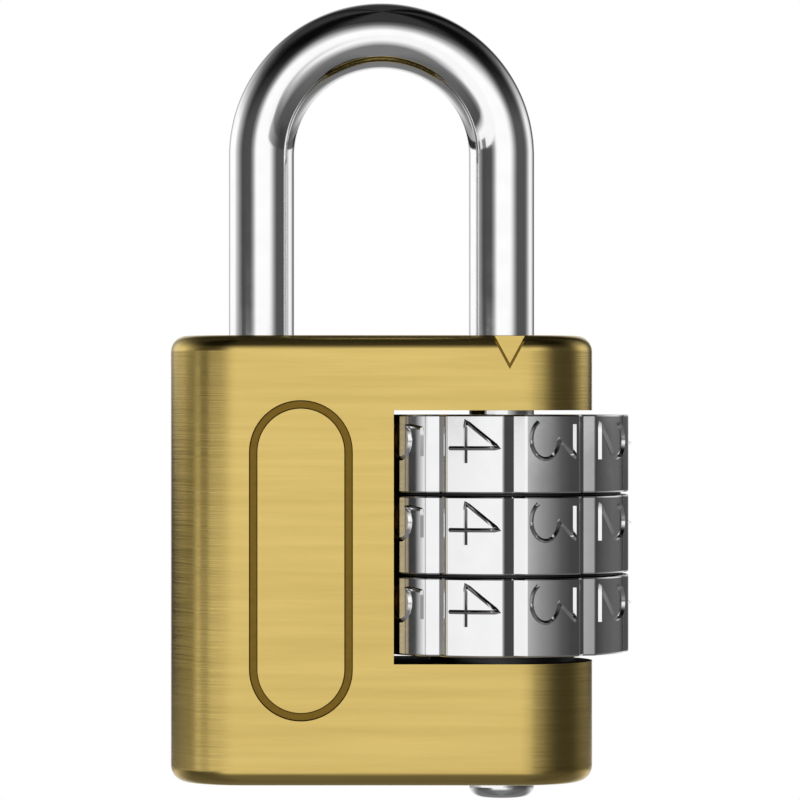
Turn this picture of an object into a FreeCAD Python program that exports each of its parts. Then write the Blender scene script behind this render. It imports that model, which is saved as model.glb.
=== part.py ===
"""Combination padlock with three numbered wheels on the heel leg of its shackle.

The lock body is a flat brass block with full round ends. A window cut into its right end holds
three wheels that turn about the heel leg. Each wheel drives a code ring by dogs, and the one tooth
inside each ring runs in wide annular grooves of the heel leg. A keyway joins those grooves, so the
shackle rises only while all three teeth stand at the keyway. Pressing the rings down against their
spring frees the dogs, and the wheels can then be set to another code.

Frame: millimetres, X to the right, Y to the back, Z up. The origin is the middle of the underside
of the shackle's crown, where the padlock hangs.
"""
import FreeCAD, Part
import Sketcher
import math
import os

# Driving dimensions: lengths in millimetres, angles in degrees, and counts.
SIZES = {
    # Shackle
    "bar_diameter": 6.2,
    "inside_clearance": 25.4,
    "toe_exit": 0.6,
    "heel_projection": 1.5,
    "leg_end_rounding": 1.1,
    # Lock body. Its height and depth follow from what it holds: the height from the window down to
    # the bush, the depth from the heel leg out to the wall around the code rings.
    "body_width": 40.0,
    "rim_rounding": 1.5,
    "leg_inset": 8.6,
    "leg_clearance": 0.1,
    "toe_bore_spare": 0.1,
    "bore_chamfer": 0.35,
    # Window for the wheels
    "window_drop": 7.05,
    "gap_above_wheels": 0.4,
    "gap_below_wheels": 0.9,
    "window_clearance": 0.35,
    # Wheels
    "wheel_radius": 12.05,
    "wheel_height": 7.3,
    "wheel_gap": 0.26,
    "wheel_chamfer": 0.15,
    "positions": 10,
    "flute_depth": 0.6,
    "flute_half_angle": 4.8,
    "flute_angle": 4.3,
    # Code rings, and the dogs that the wheels drive them by
    "sleeve_wall": 2.4,
    "recess_wall": 1.2,
    "recess_clearance": 0.2,
    "lip_thickness": 0.6,
    "lip_clearance": 0.1,
    "notch_height": 1.0,
    "dog_reach": 0.7,
    "dog_width": 1.1,
    "dog_height": 0.75,
    "dog_clearance": 0.1,
    "dog_slack": 0.05,
    "dog_count": 5,
    "ring_drop": 0.1,
    "ring_gap": 0.06,
    "ring_foot_clearance": 0.13,
    # Teeth of the rings, and the grooves and keyway of the heel leg that they run in
    "tooth_drop": 3.5,
    "tooth_height": 1.6,
    "tooth_width": 1.8,
    "tooth_clearance": 0.15,
    "groove_depth": 0.95,
    "groove_clearance": 0.22,
    "keyway_clearance": 0.2,
    "lift_shortfall": 1.56,
    # Washers that the wheels stand on
    "washer_inset": 0.15,
    "washer_clearance": 0.15,
    "washer_slack": 0.05,
    "foot_washer_inset": 0.1,
    # Spring under the rings
    "ring_spring_inset": 0.5,
    "ring_spring_wire": 0.45,
    "ring_spring_coils": 2.5,
    "ring_spring_well": 1.65,
    "spring_side_clearance": 0.12,
    # Clip that stops the lift, the chamber that it rises in, and the bush under it
    "floor_thickness": 0.8,
    "clip_shoulder": 1.0,
    "clip_thickness": 0.6,
    "clip_groove_depth": 0.45,
    "clip_slack": 0.03,
    "clip_opening": 2.6,
    "lift_stop_clearance": 0.1,
    "chamber_spare": 0.55,
    "bush_wall": 1.6,
    "bush_thickness": 1.2,
    "bush_chamfer": 0.3,
    # Detent balls and springs
    "ball_radius": 1.0,
    "ball_clearance": 0.1,
    "ball_tip_clearance": 0.06,
    "detent_rise": 1.5,
    "detent_spring_length": 5.0,
    "detent_spring_wire": 0.3,
    "detent_spring_coils": 5.0,
    # Engraving on the front
    "engraving_depth": 0.3,
    "panel_inset": 12.5,
    "panel_width": 9.7,
    "panel_height": 30.0,
    "panel_line": 0.8,
    "mark_offset": 0.6,
    "mark_width": 3.45,
    "mark_drop": 3.1,
    "mark_line": 0.34,
}

doc = FreeCAD.newDocument("combination_padlock")
sheet = doc.addObject("Spreadsheet::Sheet", "sizes")
for row, (name, number) in enumerate(SIZES.items(), start=1):
    sheet.set(f"A{row}", name)
    sheet.set(f"B{row}", str(number))
    sheet.setAlias(f"B{row}", name)
doc.recompute()


class Size:
    """A number together with the spreadsheet formula that gives it."""

    def __init__(self, value, formula):
        self.value = float(value)
        self.formula = formula

    def __add__(self, other):
        other = as_size(other)
        return Size(self.value + other.value, f"({self.formula} + {other.formula})")

    def __radd__(self, other):
        return as_size(other) + self

    def __sub__(self, other):
        other = as_size(other)
        return Size(self.value - other.value, f"({self.formula} - {other.formula})")

    def __rsub__(self, other):
        return as_size(other) - self

    def __mul__(self, other):
        other = as_size(other)
        return Size(self.value * other.value, f"({self.formula} * {other.formula})")

    def __rmul__(self, other):
        return as_size(other) * self

    def __truediv__(self, other):
        other = as_size(other)
        return Size(self.value / other.value, f"({self.formula} / {other.formula})")

    def __neg__(self):
        return Size(-self.value, f"(0 - {self.formula})")


def as_size(item):
    return item if isinstance(item, Size) else Size(item, str(item))


def sine(angle):
    return Size(math.sin(math.radians(angle.value)), f"sin({angle.formula} * 1 deg)")


def cosine(angle):
    return Size(math.cos(math.radians(angle.value)), f"cos({angle.formula} * 1 deg)")


def root(item):
    return Size(math.sqrt(item.value), f"sqrt({item.formula})")


class Sheet:
    """The sheet's cells as Size values, read by their aliases."""

    def __getattr__(self, name):
        return Size(getattr(sheet, name), f"sizes.{name}")


S = Sheet()

# Plan: the legs, and the radii of all that stands around the heel leg, from the inside out
bar_radius = S.bar_diameter / 2
leg_bore = bar_radius + S.leg_clearance
heel_x = S.body_width / 2 - S.leg_inset
toe_x = -heel_x
core_radius = bar_radius - S.groove_depth
sleeve_radius = leg_bore + S.sleeve_wall
recess_radius = sleeve_radius + S.recess_clearance
round_end = recess_radius + S.recess_wall
lip_radius = sleeve_radius + S.lip_clearance
dog_radius = sleeve_radius + S.dog_reach
notch_radius = dog_radius + S.dog_clearance
counter_radius = notch_radius + S.dog_clearance
ring_spring_radius = sleeve_radius - S.ring_spring_inset
flute_root = S.wheel_radius - S.flute_depth
window_radius = S.wheel_radius + S.window_clearance
chamber_radius = leg_bore + S.clip_shoulder
bush_radius = leg_bore + S.bush_wall

# Heights of the wheels and rings, down from the body's top
bow_height = bar_radius - heel_x
body_top = -S.inside_clearance
wheel_pitch = S.wheel_height + S.wheel_gap
window_top = body_top - S.window_drop
wheel_tops = [window_top - S.gap_above_wheels - k * wheel_pitch for k in range(3)]
window_floor = wheel_tops[2] - S.wheel_height - S.gap_below_wheels
drive_height = S.lip_thickness + S.notch_height
ring_length = wheel_pitch - S.ring_gap
last_ring_foot = wheel_tops[2] - S.ring_drop - ring_length

# A change of code presses the rings down by the height of the notches, which frees their dogs. The
# lift falls short of the wheels' pitch, so a tooth that stands under the middle of its groove at
# rest stands over the middle of the next groove down when the shackle is up, and the grooves are
# wide enough for both, with the rings up or down.
code_shift = S.notch_height
shackle_lift = wheel_pitch - S.lift_shortfall
groove_width = S.tooth_height + S.lift_shortfall + code_shift + 2 * S.groove_clearance
groove_centre = wheel_tops[0] - S.tooth_drop + (S.lift_shortfall - code_shift) / 2

# Heights in the body's floor: ring recess, spring well, clip chamber and bush
recess_floor = last_ring_foot - code_shift - S.ring_foot_clearance
ring_spring_foot = recess_floor - S.ring_spring_well
chamber_top = ring_spring_foot - S.floor_thickness
clip_top = chamber_top - shackle_lift - S.lift_stop_clearance
clip_foot = clip_top - S.clip_thickness
body_floor = clip_foot - S.chamber_spare - S.bush_thickness
heel_end = body_floor - S.heel_projection
toe_engagement = shackle_lift - S.toe_exit
toe_end = body_top - toe_engagement

# Detents: in line with a flute of the wheels' left side, balls just clear of the rims
detent_drop = S.wheel_height - S.detent_rise
detent_angle = S.flute_angle - as_size(3 * 360) / S.positions
detent_y = -S.wheel_radius * cosine(detent_angle)
ball_distance = S.wheel_radius + S.ball_tip_clearance + S.ball_radius
ball_x = heel_x - root(ball_distance * ball_distance - detent_y * detent_y)
detent_hole_end = ball_x - S.ball_radius - S.detent_spring_length


def bind(item, prop, size):
    """Tie one property of a document object to the sheet."""
    item.setExpression(prop, as_size(size).formula)


def new_body(name):
    body = doc.addObject("PartDesign::Body", name)
    body.Label = name
    return body


def origin_part(body, role):
    """One of a body's own origin planes or axes."""
    return next(part for part in body.Origin.OriginFeatures if part.Role == role)


def new_sketch(body, name, plane, x=None, y=None, z=None):
    """A sketch on an origin plane of its body, moved by sizes in the plane's own directions."""
    sketch = body.newObject("Sketcher::SketchObject", name)
    sketch.AttachmentSupport = [(origin_part(body, plane), "")]
    sketch.MapMode = "FlatFace"
    for letter, size in (("x", x), ("y", y), ("z", z)):
        if size is not None:
            bind(sketch, f"AttachmentOffset.Base.{letter}", size)
    return sketch


def constrain(sketch, *parts, size=None):
    if size is None:
        sketch.addConstraint(Sketcher.Constraint(*parts))
    else:
        number = sketch.addConstraint(Sketcher.Constraint(*parts, size.value))
        bind(sketch, f"Constraints[{number}]", size)


def place(sketch, curve, point, x, y):
    """Hold a point of a curve at sheet coordinates of the sketch."""
    constrain(sketch, "DistanceX", curve, point, size=as_size(x))
    constrain(sketch, "DistanceY", curve, point, size=as_size(y))


def draw_outline(sketch, corners):
    """A closed outline of straight lines through the given corners."""
    corners = [(as_size(x), as_size(y)) for x, y in corners]
    vectors = [FreeCAD.Vector(x.value, y.value, 0) for x, y in corners]
    first = sketch.GeometryCount
    for start, end in zip(vectors, vectors[1:] + vectors[:1]):
        sketch.addGeometry(Part.LineSegment(start, end), False)
    for index in range(len(corners)):
        after = first + (index + 1) % len(corners)
        constrain(sketch, "Coincident", first + index, 2, after, 1)
    for index, (x, y) in enumerate(corners):
        place(sketch, first + index, 1, x, y)


def draw_circle(sketch, x, y, radius):
    x, y, radius = as_size(x), as_size(y), as_size(radius)
    shape = Part.Circle(FreeCAD.Vector(x.value, y.value, 0), FreeCAD.Vector(0, 0, 1), radius.value)
    curve = sketch.addGeometry(shape, False)
    place(sketch, curve, 3, x, y)
    constrain(sketch, "Radius", curve, size=radius)


def draw_stadium(sketch, first_centre, second_centre, radius):
    """Two half circles joined by tangent lines: the form of the body's plan and of the panel."""
    first_centre = [as_size(item) for item in first_centre]
    second_centre = [as_size(item) for item in second_centre]
    start = FreeCAD.Vector(*[item.value for item in first_centre], 0)
    end = FreeCAD.Vector(*[item.value for item in second_centre], 0)
    heading = math.atan2(end.y - start.y, end.x - start.x)
    side = FreeCAD.Vector(-math.sin(heading), math.cos(heading), 0) * radius.value
    up = FreeCAD.Vector(0, 0, 1)
    quarter = math.pi / 2
    first = sketch.GeometryCount
    sketch.addGeometry(Part.ArcOfCircle(
        Part.Circle(end, up, radius.value), heading - quarter, heading + quarter), False)
    sketch.addGeometry(Part.LineSegment(end + side, start + side), False)
    sketch.addGeometry(Part.ArcOfCircle(
        Part.Circle(start, up, radius.value), heading + quarter, heading + 3 * quarter), False)
    sketch.addGeometry(Part.LineSegment(start - side, end - side), False)
    constrain(sketch, "Tangent", first, 2, first + 1, 1)
    constrain(sketch, "Tangent", first + 1, 2, first + 2, 1)
    constrain(sketch, "Tangent", first + 2, 2, first + 3, 1)
    constrain(sketch, "Tangent", first + 3, 2, first, 1)
    place(sketch, first, 3, *second_centre)
    place(sketch, first + 2, 3, *first_centre)
    constrain(sketch, "Radius", first, size=radius)
    constrain(sketch, "Equal", first, first + 2)


def add_feature(body, kind, name, sketch, length=None, reverse=False):
    """A pad or pocket of a sketch, through everything where no length is given."""
    feature = body.newObject(f"PartDesign::{kind}", name)
    feature.Profile = sketch
    feature.Reversed = reverse
    if length is None:
        feature.Type = "ThroughAll"
    else:
        bind(feature, "Length", length)
    sketch.Visibility = False
    return feature


def add_turned(body, kind, name, sketch):
    """A revolution or groove of a sketch about its own vertical axis."""
    feature = body.newObject(f"PartDesign::{kind}", name)
    feature.Profile = sketch
    feature.ReferenceAxis = (sketch, ["V_Axis"])
    feature.Angle = 360
    return feature


def ring_pattern(body, name, feature, count):
    """Equal copies of a feature around the body's own upright axis."""
    pattern = body.newObject("PartDesign::PolarPattern", name)
    pattern.Originals = [feature]
    pattern.Axis = (origin_part(body, "Z_Axis"), [""])
    pattern.Angle = 360
    bind(pattern, "Occurrences", count)
    body.Tip = pattern
    return pattern


def row_pattern(body, name, feature, axis, length, count):
    """Equal copies of a feature down the body, the given length from first to last."""
    pattern = body.newObject("PartDesign::LinearPattern", name)
    pattern.Originals = [feature]
    pattern.Direction = axis
    pattern.Reversed = True
    bind(pattern, "Length", length)
    pattern.Occurrences = count
    body.Tip = pattern
    return pattern


def edges_at(shape, heights, radius=None):
    """Names of the edges that lie flat at one of the heights, round ones only if asked."""
    names = []
    for number, edge in enumerate(shape.Edges, start=1):
        box = edge.BoundBox
        flat = box.ZLength < 1e-6 and any(abs(box.ZMin - level) < 1e-6 for level in heights)
        if flat and (radius is None or abs(getattr(edge.Curve, "Radius", 0) - radius) < 1e-6):
            names.append(f"Edge{number}")
    return names


def make_lock_body():
    body = new_body("lock_body")
    end_x = S.body_width / 2 - round_end
    plan = new_sketch(body, "Plan", "XY_Plane", z=body_top)
    draw_stadium(plan, (-end_x, 0), (end_x, 0), round_end)
    block = add_feature(body, "Pad", "Block", plan, body_top - body_floor, reverse=True)
    doc.recompute()

    rims = body.newObject("PartDesign::Fillet", "Rounded_rims")
    rims.Base = (block, edges_at(block.Shape, (body_top.value, body_floor.value)))
    bind(rims, "Radius", S.rim_rounding)

    # The front stays flat up to the top edge inside the index mark.
    half_mark = S.mark_width / 2
    mark_x = heel_x + S.mark_offset
    flat = new_sketch(body, "Mark_flat", "XZ_Plane", x=mark_x, y=body_top, z=round_end)
    draw_outline(flat, [(-half_mark, 0), (half_mark, 0), (0, -S.mark_drop)])
    add_feature(body, "Pad", "Mark_face", flat, S.rim_rounding, reverse=True)
    mark = new_sketch(body, "Mark_lines", "XZ_Plane", x=mark_x, y=body_top, z=round_end)
    inner_half = half_mark - S.mark_line
    draw_outline(mark, [
        (-half_mark, 0), (-inner_half, 0), (0, -S.mark_drop * inner_half / half_mark),
        (inner_half, 0), (half_mark, 0), (0, -S.mark_drop)])
    add_feature(body, "Pocket", "Index_mark", mark, S.engraving_depth)

    # Engraved frame of the panel, half way up the front
    panel = new_sketch(body, "Panel_frame", "XZ_Plane", x=S.panel_inset - S.body_width / 2,
                       y=(body_top + body_floor) / 2, z=round_end)
    outer_radius = S.panel_width / 2
    centre = (S.panel_height - S.panel_width) / 2
    draw_stadium(panel, (0, -centre), (0, centre), outer_radius)
    draw_stadium(panel, (0, -centre), (0, centre), outer_radius - S.panel_line)
    add_feature(body, "Pocket", "Panel_channel", panel, S.engraving_depth)

    # Window for the wheels, open to the front, the back and the right
    window = new_sketch(body, "Window_round", "XY_Plane", z=window_top)
    draw_circle(window, heel_x, 0, window_radius)
    add_feature(body, "Pocket", "Window", window, window_top - window_floor)

    heel = new_sketch(body, "Heel_round", "XY_Plane", z=body_top)
    draw_circle(heel, heel_x, 0, leg_bore)
    add_feature(body, "Pocket", "Heel_bore", heel)
    toe = new_sketch(body, "Toe_round", "XY_Plane", z=body_top)
    draw_circle(toe, toe_x, 0, leg_bore)
    bores = add_feature(body, "Pocket", "Toe_bore", toe, toe_engagement + S.toe_bore_spare)
    doc.recompute()
    eased = body.newObject("PartDesign::Chamfer", "Eased_bores")
    eased.Base = (bores, edges_at(bores.Shape, (body_top.value,), leg_bore.value))
    bind(eased, "Size", S.bore_chamfer)

    # Floor of the window: room for the last ring and a well around it for the ring spring
    recess = new_sketch(body, "Recess_round", "XY_Plane", z=window_floor)
    draw_circle(recess, heel_x, 0, recess_radius)
    add_feature(body, "Pocket", "Floor_recess", recess, window_floor - recess_floor)
    well = new_sketch(body, "Well_round", "XY_Plane", z=recess_floor)
    side = S.ring_spring_wire / 2 + S.spring_side_clearance
    draw_circle(well, heel_x, 0, ring_spring_radius + side)
    draw_circle(well, heel_x, 0, ring_spring_radius - side)
    add_feature(body, "Pocket", "Ring_spring_well", well, S.ring_spring_well)

    # Chamber that the clip rises in, bored from below, and the seat of its bush
    chamber = new_sketch(body, "Chamber_round", "XY_Plane", z=body_floor)
    draw_circle(chamber, heel_x, 0, chamber_radius)
    add_feature(body, "Pocket", "Clip_chamber", chamber, chamber_top - body_floor, reverse=True)
    seat = new_sketch(body, "Seat_round", "XY_Plane", z=body_floor)
    draw_circle(seat, heel_x, 0, bush_radius)
    add_feature(body, "Pocket", "Bush_seat", seat, S.bush_thickness, reverse=True)

    # Blind holes for the detents, drilled through the window into its left wall
    hole = new_sketch(body, "Detent_round", "YZ_Plane", x=detent_y,
                      y=wheel_tops[0] - detent_drop, z=heel_x)
    draw_circle(hole, 0, 0, S.ball_radius + S.ball_clearance)
    drilling = add_feature(body, "Pocket", "Detent_hole", hole, heel_x - detent_hole_end)
    row_pattern(body, "Detent_holes", drilling, (hole, ["V_Axis"]), 2 * wheel_pitch, 3)
    return body


def make_shackle():
    body = new_body("shackle")
    path = new_sketch(body, "Bow_path", "XZ_Plane")
    low_toe = FreeCAD.Vector(toe_x.value, toe_end.value, 0)
    high_toe = FreeCAD.Vector(toe_x.value, bow_height.value, 0)
    high_heel = FreeCAD.Vector(heel_x.value, bow_height.value, 0)
    low_heel = FreeCAD.Vector(heel_x.value, heel_end.value, 0)
    bow = Part.Circle(FreeCAD.Vector(0, bow_height.value, 0), FreeCAD.Vector(0, 0, 1), heel_x.value)
    path.addGeometry(Part.LineSegment(low_toe, high_toe), False)
    path.addGeometry(Part.ArcOfCircle(bow, 0, math.pi), False)
    path.addGeometry(Part.LineSegment(high_heel, low_heel), False)
    constrain(path, "Tangent", 0, 2, 1, 2)
    constrain(path, "Tangent", 1, 1, 2, 1)
    place(path, 0, 1, toe_x, toe_end)
    place(path, 1, 3, 0, bow_height)
    place(path, 2, 2, heel_x, heel_end)
    constrain(path, "Vertical", 0)
    bar = new_sketch(body, "Bar_round", "XY_Plane", z=toe_end)
    draw_circle(bar, toe_x, 0, bar_radius)
    bent = body.newObject("PartDesign::AdditivePipe", "Bent_bar")
    bent.Profile = bar
    bent.Spine = (path, ["Edge1", "Edge2", "Edge3"])
    doc.recompute()

    ends = body.newObject("PartDesign::Fillet", "Rounded_ends")
    ends.Base = (bent, edges_at(bent.Shape, (toe_end.value, heel_end.value)))
    bind(ends, "Radius", S.leg_end_rounding)

    # Wide grooves that let the rings' teeth go round, one more than there are wheels
    half = groove_width / 2
    turned = new_sketch(body, "Ring_groove_section", "XZ_Plane", x=heel_x, y=groove_centre)
    draw_outline(turned, [(core_radius, -half), (S.bar_diameter, -half),
                          (S.bar_diameter, half), (core_radius, half)])
    groove = add_turned(body, "Groove", "Ring_groove", turned)
    row_pattern(body, "Ring_grooves", groove, (turned, ["V_Axis"]), 3 * wheel_pitch, 4)

    # Groove for the clip that stops the lift
    clip = new_sketch(body, "Clip_groove_section", "XZ_Plane", x=heel_x, y=clip_top)
    clip_core = bar_radius - S.clip_groove_depth
    draw_outline(clip, [(clip_core, 0), (S.bar_diameter, 0),
                        (S.bar_diameter, -S.clip_thickness), (clip_core, -S.clip_thickness)])
    add_turned(body, "Groove", "Clip_groove", clip)

    # Keyway at the back, from the first groove out through the end of the leg
    slot = new_sketch(body, "Keyway_section", "XY_Plane", z=heel_end)
    half_key = S.tooth_width / 2 + S.keyway_clearance
    draw_outline(slot, [(heel_x - half_key, core_radius), (heel_x + half_key, core_radius),
                        (heel_x + half_key, S.bar_diameter), (heel_x - half_key, S.bar_diameter)])
    add_feature(body, "Pocket", "Keyway", slot, groove_centre - heel_end, reverse=True)
    return body


def make_wheel(number):
    """A wheel drawn about its own axis, with its top face at height nought."""
    body = new_body(f"dial_wheel_{number}")
    edge = S.wheel_chamfer
    section = new_sketch(body, "Wheel_section", "XZ_Plane")
    draw_outline(section, [
        (lip_radius, 0), (S.wheel_radius - edge, 0), (S.wheel_radius, -edge),
        (S.wheel_radius, -(S.wheel_height - edge)), (S.wheel_radius - edge, -S.wheel_height),
        (counter_radius, -S.wheel_height), (counter_radius, -drive_height),
        (lip_radius, -drive_height)])
    add_turned(body, "Revolution", "Turned_wheel", section)

    # One V shaped flute in the rim, drawn at its own angle, then all of them
    flute = new_sketch(body, "Flute_section", "XY_Plane")
    bind(flute, "AttachmentOffset.Rotation.Angle", S.flute_angle)
    rim_half = S.wheel_radius * sine(S.flute_half_angle)
    rim_y = S.wheel_radius * cosine(S.flute_half_angle)
    root_y = flute_root
    outside_y = S.wheel_radius + S.flute_depth
    outside_half = rim_half * (outside_y - root_y) / (rim_y - root_y)
    draw_outline(flute, [(0, -root_y), (-outside_half, -outside_y), (outside_half, -outside_y)])
    cut = add_feature(body, "Pocket", "Flute", flute)
    ring_pattern(body, "Flutes", cut, S.positions)

    # Notches for the ring's dogs, cut upwards from inside the wheel as far as the lip
    notch = new_sketch(body, "Notch_section", "XY_Plane", z=-drive_height)
    half = S.dog_width / 2 + S.dog_clearance
    inside = lip_radius - S.dog_reach
    outside = root(notch_radius * notch_radius - half * half)
    draw_outline(notch, [(-half, inside), (half, inside), (half, outside), (-half, outside)])
    broach = add_feature(body, "Pocket", "Notch", notch, S.notch_height, reverse=True)
    ring_pattern(body, "Notches", broach, S.positions)
    bind(body, "Placement.Base.x", heel_x)
    bind(body, "Placement.Base.z", wheel_tops[number - 1])
    return body


def make_code_ring(number):
    """A code ring in its wheel's own frame, with its one tooth to the back at the keyway."""
    body = new_body(f"code_ring_{number}")
    sleeve = new_sketch(body, "Sleeve_section", "XZ_Plane")
    draw_outline(sleeve, [
        (leg_bore, -S.ring_drop), (sleeve_radius, -S.ring_drop),
        (sleeve_radius, -(S.ring_drop + ring_length)), (leg_bore, -(S.ring_drop + ring_length))])
    add_turned(body, "Revolution", "Sleeve", sleeve)

    dog = new_sketch(body, "Dog_section", "XY_Plane", z=-(S.lip_thickness + S.dog_slack))
    half = S.dog_width / 2
    inside = sleeve_radius - S.dog_reach / 2
    outside = root(dog_radius * dog_radius - half * half)
    draw_outline(dog, [(-half, inside), (half, inside), (half, outside), (-half, outside)])
    block = add_feature(body, "Pad", "Dog", dog, S.dog_height, reverse=True)
    ring_pattern(body, "Dogs", block, S.dog_count)

    tooth = new_sketch(body, "Tooth_section", "XY_Plane", z=-(S.tooth_drop - S.tooth_height / 2))
    half = S.tooth_width / 2
    inside = core_radius + S.tooth_clearance
    outside = (leg_bore + sleeve_radius) / 2
    draw_outline(tooth, [(-half, inside), (half, inside), (half, outside), (-half, outside)])
    add_feature(body, "Pad", "Tooth", tooth, S.tooth_height, reverse=True)
    bind(body, "Placement.Base.x", heel_x)
    bind(body, "Placement.Base.z", wheel_tops[number - 1])
    return body


def make_washer(name, inner, outer, thickness, foot):
    """A flat washer around the heel leg, standing at the given height."""
    disc = doc.addObject("Part::Cylinder", f"{name}_disc")
    hole = doc.addObject("Part::Cylinder", f"{name}_hole")
    bind(disc, "Radius", outer)
    bind(hole, "Radius", inner)
    for item in (disc, hole):
        bind(item, "Height", thickness)
    washer = doc.addObject("Part::Cut", name)
    washer.Base, washer.Tool = disc, hole
    washer.Label = name
    bind(washer, "Placement.Base.x", heel_x)
    bind(washer, "Placement.Base.z", foot)
    return washer


def make_clip():
    """Open clip that snaps into the groove of the heel leg, its gap to the back."""
    body = new_body("heel_clip")
    section = new_sketch(body, "Clip_section", "XY_Plane")
    inner = bar_radius - S.clip_groove_depth + S.clip_slack
    outer = chamber_radius - S.leg_clearance
    draw_circle(section, 0, 0, outer)
    draw_circle(section, 0, 0, inner)
    add_feature(body, "Pad", "Clip_ring", section, S.clip_thickness - 2 * S.clip_slack)
    mouth = new_sketch(body, "Mouth_section", "XY_Plane")
    half = S.clip_opening / 2
    draw_outline(mouth, [(-half, 0), (half, 0), (half, bush_radius), (-half, bush_radius)])
    add_feature(body, "Pocket", "Mouth", mouth, S.clip_thickness, reverse=True)
    bind(body, "Placement.Base.x", heel_x)
    bind(body, "Placement.Base.z", clip_foot + S.clip_slack)
    return body


def make_bush():
    """Bush pressed into the mouth of the chamber, with an eased bore for the leg."""
    body = new_body("bottom_bush")
    section = new_sketch(body, "Bush_section", "XZ_Plane")
    draw_outline(section, [
        (leg_bore + S.bush_chamfer, 0), (bush_radius, 0), (bush_radius, S.bush_thickness),
        (leg_bore, S.bush_thickness), (leg_bore, S.bush_chamfer)])
    add_turned(body, "Revolution", "Turned_bush", section)
    bind(body, "Placement.Base.x", heel_x)
    bind(body, "Placement.Base.z", body_floor)
    return body


def make_ball(number):
    ball = doc.addObject("Part::Sphere", f"detent_ball_{number}")
    ball.Label = f"detent_ball_{number}"
    bind(ball, "Radius", S.ball_radius)
    bind(ball, "Placement.Base.x", ball_x)
    bind(ball, "Placement.Base.y", detent_y)
    bind(ball, "Placement.Base.z", wheel_tops[number - 1] - detent_drop)
    return ball


def make_spring(name, radius, wire, coils, length, placement):
    """A coil spring along its own upright axis, as long as the space that it fills.

    Each half turn is an arc in a tilted plane. The arcs are level where they meet, so the wire
    runs on smoothly, and all its faces are parts of rings.
    """
    half_turns = round(2 * coils.value)
    wire_radius = wire.value / 2
    climb = (length.value - wire.value) / half_turns
    side = math.hypot(radius.value, climb / 2)
    arcs = []
    for turn in range(half_turns):
        way = 1 if turn % 2 == 0 else -1
        foot = wire_radius + turn * climb
        arcs.append(Part.Arc(
            FreeCAD.Vector(way * radius.value, 0, foot),
            FreeCAD.Vector(0, way * side, foot + climb / 2),
            FreeCAD.Vector(-way * radius.value, 0, foot + climb)).toShape())
    start = FreeCAD.Vector(radius.value, 0, wire_radius)
    section = Part.Face(Part.Wire([Part.makeCircle(wire_radius, start, FreeCAD.Vector(0, 1, 0))]))
    spring = doc.addObject("Part::Feature", name)
    spring.Label = name
    spring.Shape = Part.Wire(arcs).makePipe(section)
    spring.Placement = placement
    return spring


def upright(foot):
    return FreeCAD.Placement(FreeCAD.Vector(heel_x.value, 0, foot.value), FreeCAD.Rotation())


def lying(height):
    """Placement of a detent spring: from the end of its hole towards the ball."""
    base = FreeCAD.Vector(detent_hole_end.value, detent_y.value, height.value)
    return FreeCAD.Placement(base, FreeCAD.Rotation(FreeCAD.Vector(0, 1, 0), 90))


parts = [make_lock_body(), make_shackle()]
for number in (1, 2, 3):
    parts += [make_wheel(number), make_code_ring(number), make_ball(number)]
    parts.append(make_spring(
        f"detent_spring_{number}", S.ball_radius - S.detent_spring_wire / 2, S.detent_spring_wire,
        S.detent_spring_coils, S.detent_spring_length,
        lying(wheel_tops[number - 1] - detent_drop)))

washer_bore = sleeve_radius + S.washer_clearance
washer_radius = flute_root - S.washer_inset
washer_thickness = S.wheel_gap - 2 * S.washer_slack
parts += [
    make_washer("spacer_12", washer_bore, washer_radius, washer_thickness,
                wheel_tops[1] + S.washer_slack),
    make_washer("spacer_23", washer_bore, washer_radius, washer_thickness,
                wheel_tops[2] + S.washer_slack),
    make_washer("spacer_bottom", recess_radius, round_end - S.foot_washer_inset,
                S.gap_below_wheels - S.washer_slack, window_floor),
    make_clip(),
    make_bush(),
    make_spring("reset_spring", ring_spring_radius, S.ring_spring_wire, S.ring_spring_coils,
                last_ring_foot - ring_spring_foot, upright(ring_spring_foot)),
]
doc.recompute()

for item in doc.Objects:
    if "Invalid" in item.State or "Error" in item.State:
        raise RuntimeError(f"{item.Label} did not recompute: {item.State}")
for part in parts:
    if part.Shape.isNull() or not part.Shape.isValid() or len(part.Shape.Solids) != 1:
        raise RuntimeError(f"{part.Label} is not one valid solid")

os.makedirs("parts", exist_ok=True)
for part in parts:
    part.Shape.exportStep(f"parts/{part.Label}.step")
    print(f"{part.Label:16s} {part.Shape.Volume:10.2f} mm3")
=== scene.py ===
# %% [markdown]
# A combination padlock, dressed in Blender.
#
# The rigid model comes first. It is the fixed frame that everything here is fitted to: the same
# place, the same size, and metres throughout. X runs to the right, Y to the back and Z up, and the
# origin is the underside of the shackle's crown, where the padlock hangs.
#
# What is left to do here is what the eye sees: brushed brass, polished steel, raised numbers, and
# the studio around them. The pieces deep inside keep the rigid model's own meshes.

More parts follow.
